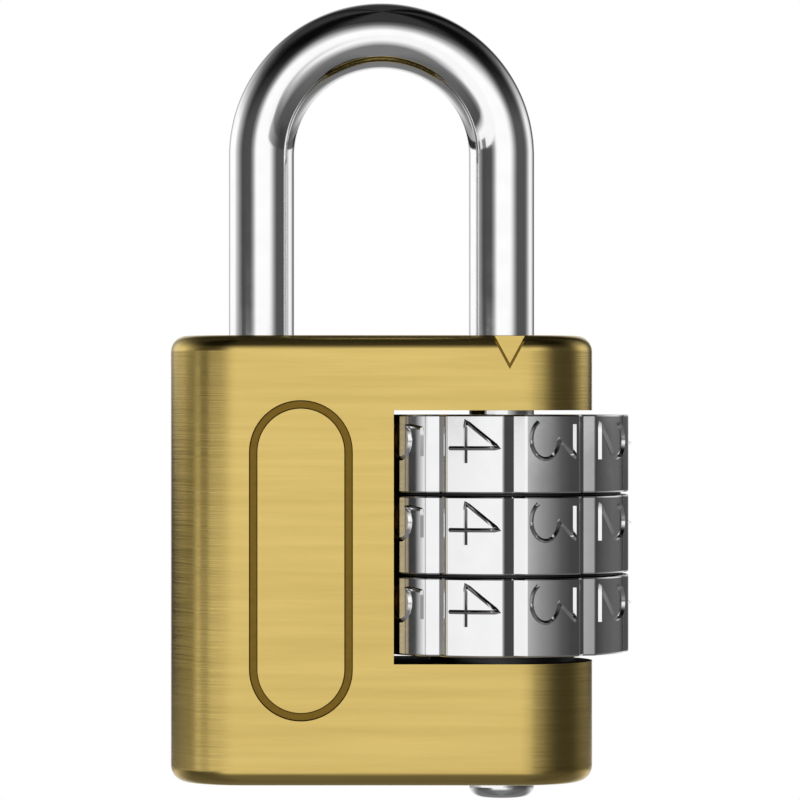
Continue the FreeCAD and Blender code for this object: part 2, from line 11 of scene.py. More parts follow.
# %% Load the frame
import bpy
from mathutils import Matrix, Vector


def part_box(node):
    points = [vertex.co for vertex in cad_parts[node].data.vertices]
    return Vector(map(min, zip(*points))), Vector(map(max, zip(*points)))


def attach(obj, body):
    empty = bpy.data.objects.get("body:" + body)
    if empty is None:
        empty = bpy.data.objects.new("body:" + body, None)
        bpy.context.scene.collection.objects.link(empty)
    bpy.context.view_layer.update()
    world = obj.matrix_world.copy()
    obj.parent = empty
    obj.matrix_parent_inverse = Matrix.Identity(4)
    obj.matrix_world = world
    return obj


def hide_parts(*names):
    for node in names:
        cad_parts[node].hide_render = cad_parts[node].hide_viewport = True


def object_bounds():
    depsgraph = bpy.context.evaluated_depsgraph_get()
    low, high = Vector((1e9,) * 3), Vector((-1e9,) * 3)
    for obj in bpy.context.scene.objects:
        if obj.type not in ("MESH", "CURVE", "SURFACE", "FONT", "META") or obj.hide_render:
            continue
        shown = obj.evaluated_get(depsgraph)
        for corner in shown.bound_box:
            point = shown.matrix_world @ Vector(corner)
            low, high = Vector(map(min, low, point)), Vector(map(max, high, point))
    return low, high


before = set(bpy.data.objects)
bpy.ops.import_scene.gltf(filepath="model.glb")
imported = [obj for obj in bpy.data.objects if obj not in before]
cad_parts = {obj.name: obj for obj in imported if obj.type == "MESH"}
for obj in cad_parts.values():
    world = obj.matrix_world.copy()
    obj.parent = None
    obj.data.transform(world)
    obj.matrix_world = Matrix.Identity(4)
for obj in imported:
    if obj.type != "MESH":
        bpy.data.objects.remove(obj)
rigid_box = [list(corner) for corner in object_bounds()]

import math

import bmesh
import bpy
from mathutils import Vector

mm = 0.001
hair = 0.01 * mm
touching = 0.001 * mm
for corner in rigid_box:
    print("rigid box corner, mm:", [round(value / mm, 2) for value in corner])

# %% [markdown]
# The sizes of the visible pieces. Where the frame holds a size, it is read from there, so a piece
# goes where its rigid twin is. The rest are the same named sizes as in the padlock's source. Two
# very small lengths are for comparing places: what lies within a hair is at the same height, and
# points closer than touching are the same point.

# %% Sizes
body_low, body_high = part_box("lock_body")
wheel_boxes = [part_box(f"dial_wheel_{number}") for number in (1, 2, 3)]
shackle_low, shackle_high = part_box("shackle")

body_top, body_floor = body_high.z, body_low.z
end_radius = (body_high.y - body_low.y) / 2
end_x = body_high.x - end_radius
bar_radius = (shackle_high.y - shackle_low.y) / 2
heel_x = shackle_high.x - bar_radius
bow_height = shackle_high.z - bar_radius - heel_x
wheel_radius = wheel_boxes[0][1].x - heel_x
wheel_height = wheel_boxes[0][1].z - wheel_boxes[0][0].z
wheel_tops = [high.z for low, high in wheel_boxes]
wheel_pitch = wheel_tops[0] - wheel_tops[1]

leg_clearance, window_clearance = 0.1 * mm, 0.35 * mm
gap_above_wheels, gap_below_wheels = 0.4 * mm, 0.9 * mm
rim_rounding, engraving_depth = 1.5 * mm, 0.3 * mm
leg_bore = bar_radius + leg_clearance
window_top = wheel_tops[0] + gap_above_wheels
window_floor = wheel_tops[2] - wheel_height - gap_below_wheels
window_radius = wheel_radius + window_clearance
for name, value in (("body height", body_top - body_floor), ("wheel radius", wheel_radius),
                    ("bow height", bow_height), ("wheel pitch", wheel_pitch)):
    print(name, round(value / mm, 2))

# %% [markdown]
# A few helpers for modelling as by hand. An operator works on all that is selected, and the frame
# comes in with all its pieces selected, so the first helper drops every selection and the second
# takes up one piece alone. The third picks faces, edges or points in edit mode by where they are
# and which way they face, as a hand would do by looking.

# %% Helpers: start, pick, extrude, spin
def start_clean():
    """Leave edit mode and select nothing."""
    if bpy.context.object is not None and bpy.context.object.mode != "OBJECT":
        bpy.ops.object.mode_set(mode="OBJECT")
    bpy.ops.object.select_all(action="DESELECT")


def take(piece):
    """Make one piece the active one and the only one selected."""
    start_clean()
    bpy.context.view_layer.objects.active = piece
    piece.select_set(True)


def pick(test, kind="FACE"):
    """Select the faces, edges or points whose middle and normal pass the test."""
    bpy.context.tool_settings.mesh_select_mode = (kind == "VERT", kind == "EDGE", kind == "FACE")
    bpy.ops.mesh.select_all(action="DESELECT")
    mesh = bmesh.from_edit_mesh(bpy.context.object.data)
    found = 0
    for item in {"VERT": mesh.verts, "EDGE": mesh.edges, "FACE": mesh.faces}[kind]:
        if kind == "VERT":
            middle, normal = item.co, item.normal
        elif kind == "EDGE":
            middle = (item.verts[0].co + item.verts[1].co) / 2
            normal = (item.verts[1].co - item.verts[0].co).normalized()
        else:
            middle, normal = item.calc_center_median(), item.normal
        if test(middle, normal):
            item.select_set(True)
            found += 1
    mesh.select_flush_mode()
    bmesh.update_edit_mesh(bpy.context.object.data)
    return found


def pull(x=0.0, y=0.0, z=0.0):
    """Extrude what is selected along a straight line."""
    bpy.ops.mesh.extrude_region_move(TRANSFORM_OT_translate={"value": (x, y, z)})


def turn(angle, steps, centre, axis, copies=False):
    """Spin what is selected, counter-clockwise when the axis points at the viewer.

    The operator itself turns the other way round, so it gets the opposite axis.
    """
    bpy.ops.mesh.spin(steps=steps, angle=angle, dupli=copies, center=centre, axis=-Vector(axis))


def join_and_fill():
    """Join points that lie on each other and fill the closed outline with one face."""
    bpy.ops.mesh.select_all(action="SELECT")
    bpy.ops.mesh.remove_doubles(threshold=touching)
    bpy.ops.mesh.select_all(action="SELECT")
    bpy.ops.mesh.edge_face_add()


def close_up():
    """Join points that lie on each other and turn all the faces outwards."""
    bpy.ops.mesh.select_all(action="SELECT")
    bpy.ops.mesh.remove_doubles(threshold=touching)
    bpy.ops.mesh.normals_make_consistent(inside=False)


def count(piece):
    """Print how many points and triangles a piece has."""
    triangles = sum(len(face.vertices) - 2 for face in piece.data.polygons)
    print(f"{piece.name}: {len(piece.data.vertices)} points, {triangles} triangles")


# %% [markdown]
# Outlines are drawn one point at a time: a plane is merged to a single point, and that point is
# extruded from corner to corner. Round ends are spun. The body, the panel and the index mark all
# begin in this way, so the way is kept as helpers.

# %% Helpers: outlines
def first_point(name, place):
    """Begin a piece as a single point, in edit mode and selected."""
    start_clean()
    bpy.ops.mesh.primitive_plane_add(size=mm, location=place)
    piece = bpy.context.object
    bpy.ops.object.transform_apply(location=True)
    piece.name = name
    piece.data.name = name
    bpy.ops.object.mode_set(mode="EDIT")
    bpy.context.tool_settings.mesh_select_mode = (True, False, False)
    bpy.ops.mesh.select_all(action="SELECT")
    bpy.ops.mesh.merge(type="CENTER")
    bpy.ops.mesh.select_all(action="SELECT")
    return piece


def draw_on(*corners):
    """Extrude the last point to each corner in turn."""
    for start, end in zip(corners, corners[1:]):
        pull(*(Vector(end) - Vector(start)))


def outline(name, corners):
    """A filled outline from corner to corner."""
    piece = first_point(name, corners[0])
    draw_on(*corners)
    bpy.ops.mesh.select_all(action="SELECT")
    bpy.ops.mesh.edge_face_add()
    return piece


def stadium(name, first_centre, second_centre, radius, axis, steps=32):
    """Two half circles joined by straight lines, filled, in the plane across the axis."""
    first_centre, second_centre, axis = Vector(first_centre), Vector(second_centre), Vector(axis)
    side = axis.cross((second_centre - first_centre).normalized()) * radius
    piece = first_point(name, first_centre - side)
    pull(*(second_centre - first_centre))
    turn(math.pi, steps, second_centre, axis)
    pull(*(first_centre - second_centre))
    turn(math.pi, steps, first_centre, axis)
    join_and_fill()
    return piece


# %% [markdown]
# Hollows are cut as a machinist would: a tool of the hollow's shape is made and taken away from the
# block by a Boolean modifier, which is applied at once.

# %% Helpers: cutting
def cut(block, tool, join=False):
    """Take the tool's shape away from the block, or join it on."""
    take(block)
    modifier = block.modifiers.new("cut", "BOOLEAN")
    modifier.operation = "UNION" if join else "DIFFERENCE"
    modifier.solver = "EXACT"
    modifier.object = tool
    bpy.ops.object.modifier_apply(modifier="cut")
    bpy.data.objects.remove(tool)


def drill(block, radius, x, z_high, z_low, steps=96):
    """An upright round hole."""
    start_clean()
    bpy.ops.mesh.primitive_cylinder_add(vertices=steps, radius=radius, depth=z_high - z_low,
                                        location=(x, 0, (z_high + z_low) / 2))
    cut(block, bpy.context.object)


def finish_shading(piece, angle=35):
    """Smooth round faces, keep edges sharper than the angle, and let flat faces mirror as flat."""
    take(piece)
    bpy.ops.object.shade_smooth_by_angle(angle=math.radians(angle))
    modifier = piece.modifiers.new("flat faces first", "WEIGHTED_NORMAL")
    modifier.keep_sharp = True
    modifier.weight = 100
    bpy.ops.object.modifier_apply(modifier="flat faces first")
    piece.select_set(False)


# %% [markdown]
# The body is one block of brass, sawn from bar stock with full round ends. Its plan is a stadium,
# drawn at the top and pulled down to the floor. The rims at top and bottom are rolled over by
# 1.5 mm, which a bevel with eight segments gives.

# %% The brass block
end_steps = 48
block = stadium("brass_body", (-end_x, 0, body_top), (end_x, 0, body_top), end_radius, (0, 0, 1),
                end_steps)
pull(z=body_floor - body_top)
close_up()
pick(lambda middle, way: abs(way.z) < 0.01 and (
    abs(middle.z - body_top) < hair or abs(middle.z - body_floor) < hair), "EDGE")
bpy.ops.mesh.bevel(offset=rim_rounding, segments=8, profile=0.5)
bpy.ops.object.mode_set(mode="OBJECT")
count(block)

# %% [markdown]
# The index mark over the wheels is a V. Its inside stays flat nearly up to the top edge, so a small
# wedge is joined on first, and then the V is engraved as a channel round it. A cutting tool starts a
# little way off the block, by the length called lift, so that no two faces lie in the same place.

# %% Index mark
mark_offset, mark_half, mark_drop, mark_line = 0.6 * mm, 1.725 * mm, 3.2 * mm, 0.28 * mm
flat_drop, lift = 0.1 * mm, 0.5 * mm
mark_x = heel_x + mark_offset
front = body_low.y
inner_half = mark_half - mark_line
inner_tip = body_top - mark_drop * inner_half / mark_half
flat_top = body_top - flat_drop
flat_half = inner_half * (flat_top - inner_tip) / (body_top - inner_tip)

flat = outline("mark_flat", [(mark_x - flat_half, front, flat_top), (mark_x, front, inner_tip),
                             (mark_x + flat_half, front, flat_top)])
pull(y=rim_rounding)
close_up()
bpy.ops.object.mode_set(mode="OBJECT")
cut(block, flat, join=True)

mark = outline("mark_channel", [(mark_x + x, front - lift, z) for x, z in (
    (-mark_half, body_top), (0, body_top - mark_drop), (mark_half, body_top),
    (mark_half, body_top + lift), (inner_half, body_top + lift), (inner_half, body_top),
    (0, inner_tip), (-inner_half, body_top), (-inner_half, body_top + lift),
    (-mark_half, body_top + lift))])
pull(y=lift + engraving_depth)
close_up()
bpy.ops.object.mode_set(mode="OBJECT")
cut(block, mark)

# %% [markdown]
# The panel on the left is framed by an engraved channel: a stadium with a smaller one taken out of
# it, sunk 0.3 mm into the front. The inside is left bare and brushed like the rest.

# %% Panel frame
panel_inset, panel_width, panel_height, panel_line = 12.5 * mm, 9.7 * mm, 30.0 * mm, 0.8 * mm
panel_x = body_low.x + panel_inset
panel_z = (body_top + body_floor) / 2
panel_radius = panel_width / 2
panel_half = (panel_height - panel_width) / 2
channel_rounding = 0.14 * mm


def panel_slab(name, radius, y_from, depth):
    """A slab of the panel's shape, from y_from by its depth towards the back."""
    low_centre = (panel_x, y_from, panel_z - panel_half)
    high_centre = (panel_x, y_from, panel_z + panel_half)
    slab = stadium(name, low_centre, high_centre, radius, (0, -1, 0))
    pull(y=depth)
    close_up()
    bpy.ops.object.mode_set(mode="OBJECT")
    return slab


channel = panel_slab("panel_channel", panel_radius, front - lift, lift + engraving_depth)
cut(channel, panel_slab("panel_core", panel_radius - panel_line, front - 2 * lift, 4 * lift))
take(channel)
bpy.ops.object.mode_set(mode="EDIT")
pick(lambda middle, way: middle.y > front + engraving_depth - hair and abs(way.y) < 0.01, "EDGE")
bpy.ops.mesh.bevel(offset=channel_rounding, segments=3, profile=0.5)
bpy.ops.object.mode_set(mode="OBJECT")
cut(block, channel)
count(block)

# %% [markdown]
# The window is a round pocket about the heel leg, a little wider than the wheels. The wheels reach
# past the front, the back and the right end of the body, so the window is open on three sides.
# The hollows behind it are cut too, because they show through the gaps: the bores for both legs,
# the recess and well under the wheels, the chamber of the clip, and three holes for the detents.
# A tool that goes on from an earlier cut begins a small overlap inside it, so that no skin is left.

# %% Window and bores for the legs
window_steps, bore_steps, toe_bore_depth = 160, 64, 5.5 * mm
drill(block, window_radius, heel_x, window_top, window_floor, window_steps)
drill(block, leg_bore, heel_x, body_top + mm, body_floor - mm, bore_steps)
drill(block, leg_bore, -heel_x, body_top + mm, body_top - toe_bore_depth, bore_steps)
count(block)

# %% Recess under the wheels, chamber of the clip, and the bush's bore
overlap = 0.1 * mm
recess_radius, recess_depth = 5.8 * mm, 0.53 * mm
chamber_radius, chamber_below_recess = leg_bore + 1.0 * mm, 2.45 * mm
bush_radius, bush_height = leg_bore + 1.6 * mm, 1.2 * mm
recess_floor = window_floor - recess_depth
chamber_top = recess_floor - chamber_below_recess
drill(block, recess_radius, heel_x, window_floor + overlap, recess_floor, bore_steps)
drill(block, chamber_radius, heel_x, chamber_top, body_floor - mm, bore_steps)
drill(block, bush_radius, heel_x, body_floor + bush_height, body_floor - mm, bore_steps)
count(block)

# %% Ring shaped well of the reset spring
start_clean()
spring_radius, spring_side, well_depth = 5.1 * mm, 0.345 * mm, 1.65 * mm
well_middle = recess_floor - (well_depth - overlap) / 2
below_well = recess_floor - 2 * well_depth
bpy.ops.mesh.primitive_cylinder_add(vertices=bore_steps, radius=spring_radius + spring_side,
                                    depth=well_depth + overlap, location=(heel_x, 0, well_middle))
well = bpy.context.object
drill(well, spring_radius - spring_side, heel_x, recess_floor + mm, below_well, bore_steps)
cut(block, well)

# %% Holes of the three detents
hole_radius = 1.1 * mm
hole_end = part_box("detent_spring_1")[0].x
ball_low, ball_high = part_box("detent_ball_1")
hole_middle = Vector(((heel_x + hole_end) / 2, (ball_low.y + ball_high.y) / 2,
                      (ball_low.z + ball_high.z) / 2))
for number in range(3):
    start_clean()
    bpy.ops.mesh.primitive_cylinder_add(
        vertices=32, radius=hole_radius, depth=heel_x - hole_end, rotation=(0, math.pi / 2, 0),
        location=hole_middle - Vector((0, 0, number * wheel_pitch)))
    cut(block, bpy.context.object)
count(block)

# %% [markdown]
# Three materials on the same brass block. The floors of the engraving and the wall of the window are
# painted darker: painted shade for these recesses. The floor of the window under the wheels is painted
# black and matt: a painted shadow. Only the outside is brushed bright. So the block has three material
# slots, and its faces are picked by their place.

# %% Which faces get painted shade
around = 0.05 * mm


def from_heel(middle):
    """How far a place is from the middle of the heel leg, seen from above."""
    return math.hypot(middle.x - heel_x, middle.y)


def in_panel(middle):
    """Whether a place is within the panel's frame, seen from the front."""
    across, along = abs(middle.x - panel_x), abs(middle.z - panel_z)
    return across < panel_radius + around and along < panel_half + panel_radius + around


def in_mark(middle):
    """Whether a place is within the V, seen from the front."""
    half = mark_half * (1 - (body_top - middle.z) / mark_drop) + around
    return abs(middle.x - mark_x) < half


def gets_painted_shade(middle, way):
    """The floors of the engraving and the wall of the window, which get painted shade."""
    sunk = front + hair < middle.y < front + engraving_depth + hair
    in_window = window_floor - hair < middle.z < window_top + hair
    outside = abs(middle.y) > end_radius - hair
    straight = abs(way.y) < 0.02 or abs(way.y) > 0.98
    return (sunk and (in_panel(middle) or straight and in_mark(middle))) or (
        in_window and not outside and from_heel(middle) < window_radius + hair)


def is_window_floor(middle, way):
    """The level floor under the wheels and the recess in it, which get the painted shadow."""
    return recess_floor - hair < middle.z < window_floor + hair and from_heel(middle) < window_radius


# %% Brushed brass, painted shade and painted shadow on the block
take(block)
block.data.materials.clear()
for name in ("brushed_brass", "painted_shade_brass", "painted_shadow_brass"):
    block.data.materials.append(bpy.data.materials.new(name))
bpy.ops.object.mode_set(mode="EDIT")
# The engraving floors and the window wall get painted shade, the window floor a painted shadow.
for number, test in ((1, gets_painted_shade), (2, is_window_floor)):
    print("faces of finish", number, "are", pick(test))
    block.active_material_index = number
    bpy.ops.object.material_slot_assign()
bpy.ops.object.mode_set(mode="OBJECT")

# %% Shading of the block, and its place in the frame
finish_shading(block)
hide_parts("lock_body")
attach(block, "lock_case")

# %% [markdown]
# The shackle is a round steel bar bent over half a circle. A ring of 64 points is pulled up as the
# toe leg, spun over the bow and pulled down as the heel leg. On its way down the ring is scaled in
# and out again, which turns the four wide grooves for the teeth of the code rings and the narrow one
# for the clip. The keyway, through which the teeth pass at the code, is milled last.

# %% Helpers: grooves
def scale_ring(factor):
    """Make the selected ring of the heel leg wider or narrower."""
    bpy.ops.transform.resize(value=(factor, factor, 1), center_override=(heel_x, 0, 0))


def turn_groove(height, top, width, core):
    """Pull the leg down from a height and round a groove, and return the height of its foot."""
    pull(z=top - height)
    pull()
    scale_ring(core / bar_radius)
    pull(z=-width)
    pull()
    scale_ring(bar_radius / core)
    return top - width


# %% The bent bar
bar_sides, bow_steps, toe_engagement = 64, 96, 5.4 * mm
toe_end = body_top - toe_engagement
start_clean()
bpy.ops.mesh.primitive_circle_add(vertices=bar_sides, radius=bar_radius, location=(-heel_x, 0, toe_end))
shackle = bpy.context.object
bpy.ops.object.transform_apply(location=True)
shackle.name = shackle.data.name = "steel_shackle"
bpy.ops.object.mode_set(mode="EDIT")
bpy.ops.mesh.select_all(action="SELECT")
bpy.context.tool_settings.mesh_select_mode = (False, True, False)
pull(z=bow_height - toe_end)
turn(math.pi, bow_steps, (0, 0, bow_height), (0, 1, 0))

# %% Grooves of the heel leg
groove_count = 4
groove_depth, groove_width, groove_drop = 0.95 * mm, 4.6 * mm, 3.22 * mm
clip_groove_depth, clip_groove_width, clip_slack = 0.45 * mm, 0.6 * mm, 0.03 * mm
core_radius = bar_radius - groove_depth
groove_middle = wheel_tops[0] - groove_drop
height = bow_height
for number in range(groove_count):
    top = groove_middle - number * wheel_pitch + groove_width / 2
    height = turn_groove(height, top, groove_width, core_radius)
clip_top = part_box("heel_clip")[1].z
height = turn_groove(height, clip_top + clip_slack, clip_groove_width, bar_radius - clip_groove_depth)
pull(z=shackle_low.z - height)

# %% Rounded ends of both legs
leg_end_rounding = 1.1 * mm
for end in (toe_end, shackle_low.z):
    pick(lambda middle, way: abs(middle.z - end) < hair, "EDGE")
    bpy.ops.mesh.edge_face_add()
close_up()
for end in (toe_end, shackle_low.z):
    pick(lambda middle, way: abs(middle.z - end) < hair and abs(way.z) < 0.01, "EDGE")
    bpy.ops.mesh.bevel(offset=leg_end_rounding, segments=8, profile=0.5)
bpy.ops.object.mode_set(mode="OBJECT")

# %% Keyway along the heel leg
start_clean()
keyway_width, keyway_reach = 2.2 * mm, 4 * mm
keyway_top, keyway_foot = groove_middle, shackle_low.z - 2 * mm
bpy.ops.mesh.primitive_cube_add(
    size=1, location=(heel_x, core_radius + keyway_reach / 2, (keyway_top + keyway_foot) / 2))
bpy.ops.transform.resize(value=(keyway_width, keyway_reach, keyway_top - keyway_foot))
bpy.ops.object.transform_apply(location=True, scale=True)
cut(shackle, bpy.context.object)
finish_shading(shackle)
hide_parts("shackle")
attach(shackle, "shackle_bar")
count(shackle)

# %% [markdown]
# A number wheel is a polished ring with ten V shaped flutes in its rim, which the fingertips grip,
# and a flat face between each two for a number. One tenth of its outline is drawn, from flute root
# to flute root, and spun round in ten copies. The outline is filled and pulled down, and its rims
# get a small round edge that catches the light.

# %% Helpers: wheel outline
positions = 10
flute_angle = math.radians(4.3)
flute_half = math.radians(4.8)
angle_slack = math.radians(0.17)
flute_depth, edge_rounding = 0.6 * mm, 0.17 * mm
flute_root = wheel_radius - flute_depth
step = 2 * math.pi / positions


def on_rim(radius, angle, z):
    """A place around the heel leg; the angle runs from the front towards the right."""
    return Vector((heel_x + radius * math.sin(angle), -radius * math.cos(angle), z))


# %% One number wheel
face_steps = 24
wheel = first_point("number_wheel_1", on_rim(flute_root, flute_angle, wheel_tops[0]))
face_start, face_end = flute_angle + flute_half, flute_angle + step - flute_half
draw_on(on_rim(flute_root, flute_angle, 0), on_rim(wheel_radius, face_start, 0))
turn(face_end - face_start, face_steps, (heel_x, 0, 0), (0, 0, 1))
draw_on(on_rim(wheel_radius, face_end, 0), on_rim(flute_root, flute_angle + step, 0))
bpy.ops.mesh.select_all(action="SELECT")
turn(2 * math.pi, positions, (heel_x, 0, 0), (0, 0, 1), copies=True)
join_and_fill()
pull(z=-wheel_height)
close_up()


def is_flute_edge(middle, way):
    """The upright edges where a flute meets the round face on either side."""
    angle = math.atan2(middle.x - heel_x, -middle.y) - flute_angle
    off_flute = abs((angle + step / 2) % step - step / 2)
    upright, on_face = abs(way.z) > 0.99, from_heel(middle) > wheel_radius - hair
    return upright and on_face and abs(off_flute - flute_half) < angle_slack


edges = pick(lambda middle, way: abs(way.z) < 0.01 or is_flute_edge(middle, way), "EDGE")
print("wheel edges rounded:", edges)
bpy.ops.mesh.bevel(offset=edge_rounding, segments=2, profile=0.5)
bpy.ops.object.mode_set(mode="OBJECT")
count(wheel)

# %% [markdown]
# Inside, a lip at the top rides on the code ring, and ten notches under it take the ring's dogs.

# %% Bore and notches of the wheel
lip_radius, counter_radius = 5.7 * mm, 6.5 * mm
counter_top = wheel_tops[0] - 1.6 * mm
notch_width, notch_reach, notch_height = 1.3 * mm, 1.4 * mm, 1.0 * mm
notch_middle = counter_top + (notch_height - overlap) / 2
below_wheel = wheel_tops[0] - wheel_height - mm
drill(wheel, lip_radius, heel_x, wheel_tops[0] + mm, below_wheel)
drill(wheel, counter_radius, heel_x, counter_top, below_wheel)
start_clean()
bpy.ops.mesh.primitive_cube_add(size=1, location=(heel_x, lip_radius, notch_middle))
bpy.ops.transform.resize(value=(notch_width, notch_reach, notch_height + overlap))
bpy.ops.object.transform_apply(location=True, scale=True)
notches = bpy.context.object
bpy.ops.object.mode_set(mode="EDIT")
bpy.ops.mesh.select_all(action="SELECT")
turn(step * (positions - 1), positions - 1, (heel_x, 0, 0), (0, 0, 1), copies=True)
bpy.ops.mesh.select_all(action="SELECT")
bpy.ops.mesh.normals_make_consistent(inside=False)
bpy.ops.object.mode_set(mode="OBJECT")
cut(wheel, notches)
finish_shading(wheel, angle=15)
count(wheel)

# %% [markdown]
# The numbers stand up from the rim as thin round ridges, and they read along the rim, turned a
# quarter to the right. Each is drawn flat first as a bent wire: a curve with a round section. The
# wire is made a mesh, and its points are laid on the rim, so that half of its thickness shows.
# A font would be quicker, but its strokes are flat and far too wide for this engraver's style. The
# strokes are drawn here in millimetres, from the lower left corner of each number.

# %% The strokes of the numbers
def arc(x, y, across, up, start, end, steps=14):
    """Points of an ellipse, its angles in degrees from the right towards the top."""
    angles = [math.radians(start + (end - start) * index / steps) for index in range(steps + 1)]
    return [(x + across * math.cos(angle), y + up * math.sin(angle)) for angle in angles]


strokes = {
    0: [arc(1.95, 2.35, 1.6, 2.1, 90, 450, 32)],
    1: [[(0.9, 3.3), (2.2, 4.45), (2.2, 0.25)]],
    2: [arc(1.95, 3.1, 1.5, 1.35, 165, -35) + [(0.4, 0.25), (3.6, 0.25)]],
    3: [[(0.5, 4.45), (3.4, 4.45), (1.75, 2.85)] + arc(1.8, 1.55, 1.75, 1.3, 75, -150)],
    4: [[(2.6, 0.1), (2.6, 4.6), (0.2, 1.6), (3.9, 1.6)]],
    5: [[(3.3, 4.45), (0.85, 4.45), (0.6, 2.55)] + arc(1.85, 1.65, 1.7, 1.4, 130, -145)],
    6: [[(2.7, 4.45), (0.85, 2.6)] + arc(1.95, 1.65, 1.55, 1.4, 150, 510, 28)],
    7: [[(0.4, 4.45), (3.5, 4.45), (1.5, 0.25)]],
    8: [arc(1.95, 3.45, 1.25, 1.0, 270, 630, 24), arc(1.95, 1.35, 1.55, 1.1, 90, 450, 24)],
    9: [[(1.2, 0.25), (3.05, 2.1)] + arc(1.95, 3.05, 1.55, 1.4, -30, 330, 28)],
}


# %% Numbers laid on the rim
number_height, number_inset, enlarge = 4.7 * mm, 0.36 * mm, 1.055
ridge_half, ridge_rise = 0.19 * mm, 0.28 * mm
front_digit = 3


def closer(points, longest=0.4):
    """The same stroke with points so close that it can follow the round rim."""
    dense = [points[0]]
    for (x, y), (next_x, next_y) in zip(points, points[1:]):
        parts = max(1, math.ceil(math.hypot(next_x - x, next_y - y) / longest))
        dense += [(x + (next_x - x) * part / parts, y + (next_y - y) * part / parts)
                  for part in range(1, parts + 1)]
    return dense


def wire_number(digit):
    """One number as a bent wire that lies flat, made a mesh."""
    curve = bpy.data.curves.new(f"stroke_{digit}", "CURVE")
    curve.dimensions = "3D"
    curve.bevel_depth = ridge_half
    curve.bevel_resolution = 0
    curve.use_fill_caps = True
    for points in map(closer, strokes[digit]):
        line = curve.splines.new("POLY")
        line.points.add(len(points) - 1)
        for point, (x, y) in zip(line.points, points):
            point.co = (x * mm, y * mm, 0, 1)
    piece = bpy.data.objects.new(f"stroke_{digit}", curve)
    bpy.context.collection.objects.link(piece)
    take(piece)
    bpy.ops.object.convert(target="MESH")
    return bpy.context.object


def numbers_for(name, top):
    """The ten numbers of a wheel, laid on its rim below the top and joined to one piece."""
    pieces = []
    for digit in range(positions):
        piece = wire_number(digit)
        middle = flute_angle + step / 2 + (front_digit - digit) * step
        for point in piece.data.vertices:
            across, up, out = point.co
            angle = middle + (up - number_height / 2) * enlarge / wheel_radius
            rise = out * ridge_rise / ridge_half
            point.co = on_rim(wheel_radius + rise, angle, top - number_inset - across * enlarge)
        pieces.append(piece)
    start_clean()
    for piece in pieces:
        piece.select_set(True)
    bpy.context.view_layer.objects.active = pieces[0]
    bpy.ops.object.join()
    joined = bpy.context.object
    joined.name = joined.data.name = name
    bpy.ops.object.mode_set(mode="EDIT")
    bpy.ops.mesh.select_all(action="SELECT")
    bpy.ops.mesh.normals_make_consistent(inside=False)
    bpy.ops.object.mode_set(mode="OBJECT")
    bpy.ops.object.shade_smooth_by_angle(angle=math.radians(50))
    return joined


# %% Three wheels and their numbers
wheels = [wheel]
for number in (2, 3):
    twin = wheel.copy()
    twin.data = wheel.data.copy()
    twin.name = twin.data.name = f"number_wheel_{number}"
    bpy.context.collection.objects.link(twin)
    for point in twin.data.vertices:
        point.co.z += wheel_tops[number - 1] - wheel_tops[0]
    wheels.append(twin)
numbers = [numbers_for(f"rim_numbers_{number}", wheel_tops[number - 1]) for number in (1, 2, 3)]
for number, (rim, digits) in enumerate(zip(wheels, numbers), start=1):
    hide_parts(f"dial_wheel_{number}")
    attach(rim, f"wheel_{number}")
    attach(digits, f"wheel_{number}")
    count(digits)

# %% [markdown]
# Materials. All of them are metals, so nearly all that they show is the room around them, and what
# makes each one itself is its colour and how it scatters light. Patterns are laid in the piece's
# own coordinates, in metres.

# %% Helpers: a metal and its noise
noise_low, noise_high = 0.3, 0.7


def new_metal(name, colour, roughness):
    """A metal by its name, and the shader that holds its values."""
    metal = bpy.data.materials.get(name) or bpy.data.materials.new(name)
    metal.use_nodes = True
    shader = metal.node_tree.nodes["Principled BSDF"]
    shader.inputs["Base Color"].default_value = (*colour, 1)
    shader.inputs["Metallic"].default_value = 1
    shader.inputs["Roughness"].default_value = roughness
    return metal, shader


def add_noise(metal, scale, stretch=(1, 1, 1), detail=4):
    """Noise that is drawn out along a direction where its stretch is less than one."""
    nodes, links = metal.node_tree.nodes, metal.node_tree.links
    places = nodes.new("ShaderNodeTexCoord")
    mapping = nodes.new("ShaderNodeMapping")
    mapping.inputs["Scale"].default_value = stretch
    noise = nodes.new("ShaderNodeTexNoise")
    noise.inputs["Scale"].default_value = scale
    noise.inputs["Detail"].default_value = detail
    links.new(places.outputs["Object"], mapping.inputs["Vector"])
    links.new(mapping.outputs["Vector"], noise.inputs["Vector"])
    return noise.outputs["Fac"]


def spread(metal, value, low, high):
    """A number between low and high, for noise between its usual lowest and highest value."""
    node = metal.node_tree.nodes.new("ShaderNodeMapRange")
    node.inputs["From Min"].default_value = noise_low
    node.inputs["From Max"].default_value = noise_high
    node.inputs["To Min"].default_value = low
    node.inputs["To Max"].default_value = high
    metal.node_tree.links.new(value, node.inputs["Value"])
    return node.outputs["Result"]


def tint(metal, value, dark, light):
    """A colour between dark and light for the same noise."""
    node = metal.node_tree.nodes.new("ShaderNodeValToRGB")
    for element, place, colour in zip(node.color_ramp.elements, (noise_low, noise_high), (dark, light)):
        element.position = place
        element.color = (*colour, 1)
    metal.node_tree.links.new(value, node.inputs["Fac"])
    return node.outputs["Color"]


def vary(metal, shader, value, dark, light, smooth, rough):
    """Let noise vary the colour from dark to light and the roughness from smooth to rough."""
    links = metal.node_tree.links
    links.new(tint(metal, value, dark, light), shader.inputs["Base Color"])
    links.new(spread(metal, value, smooth, rough), shader.inputs["Roughness"])


def bump(metal, shader, value, height):
    """Let noise stand for hills and dips of this height."""
    node = metal.node_tree.nodes.new("ShaderNodeBump")
    node.inputs["Distance"].default_value = height
    node.inputs["Strength"].default_value = 1
    metal.node_tree.links.new(value, node.inputs["Height"])
    metal.node_tree.links.new(node.outputs["Normal"], shader.inputs["Normal"])


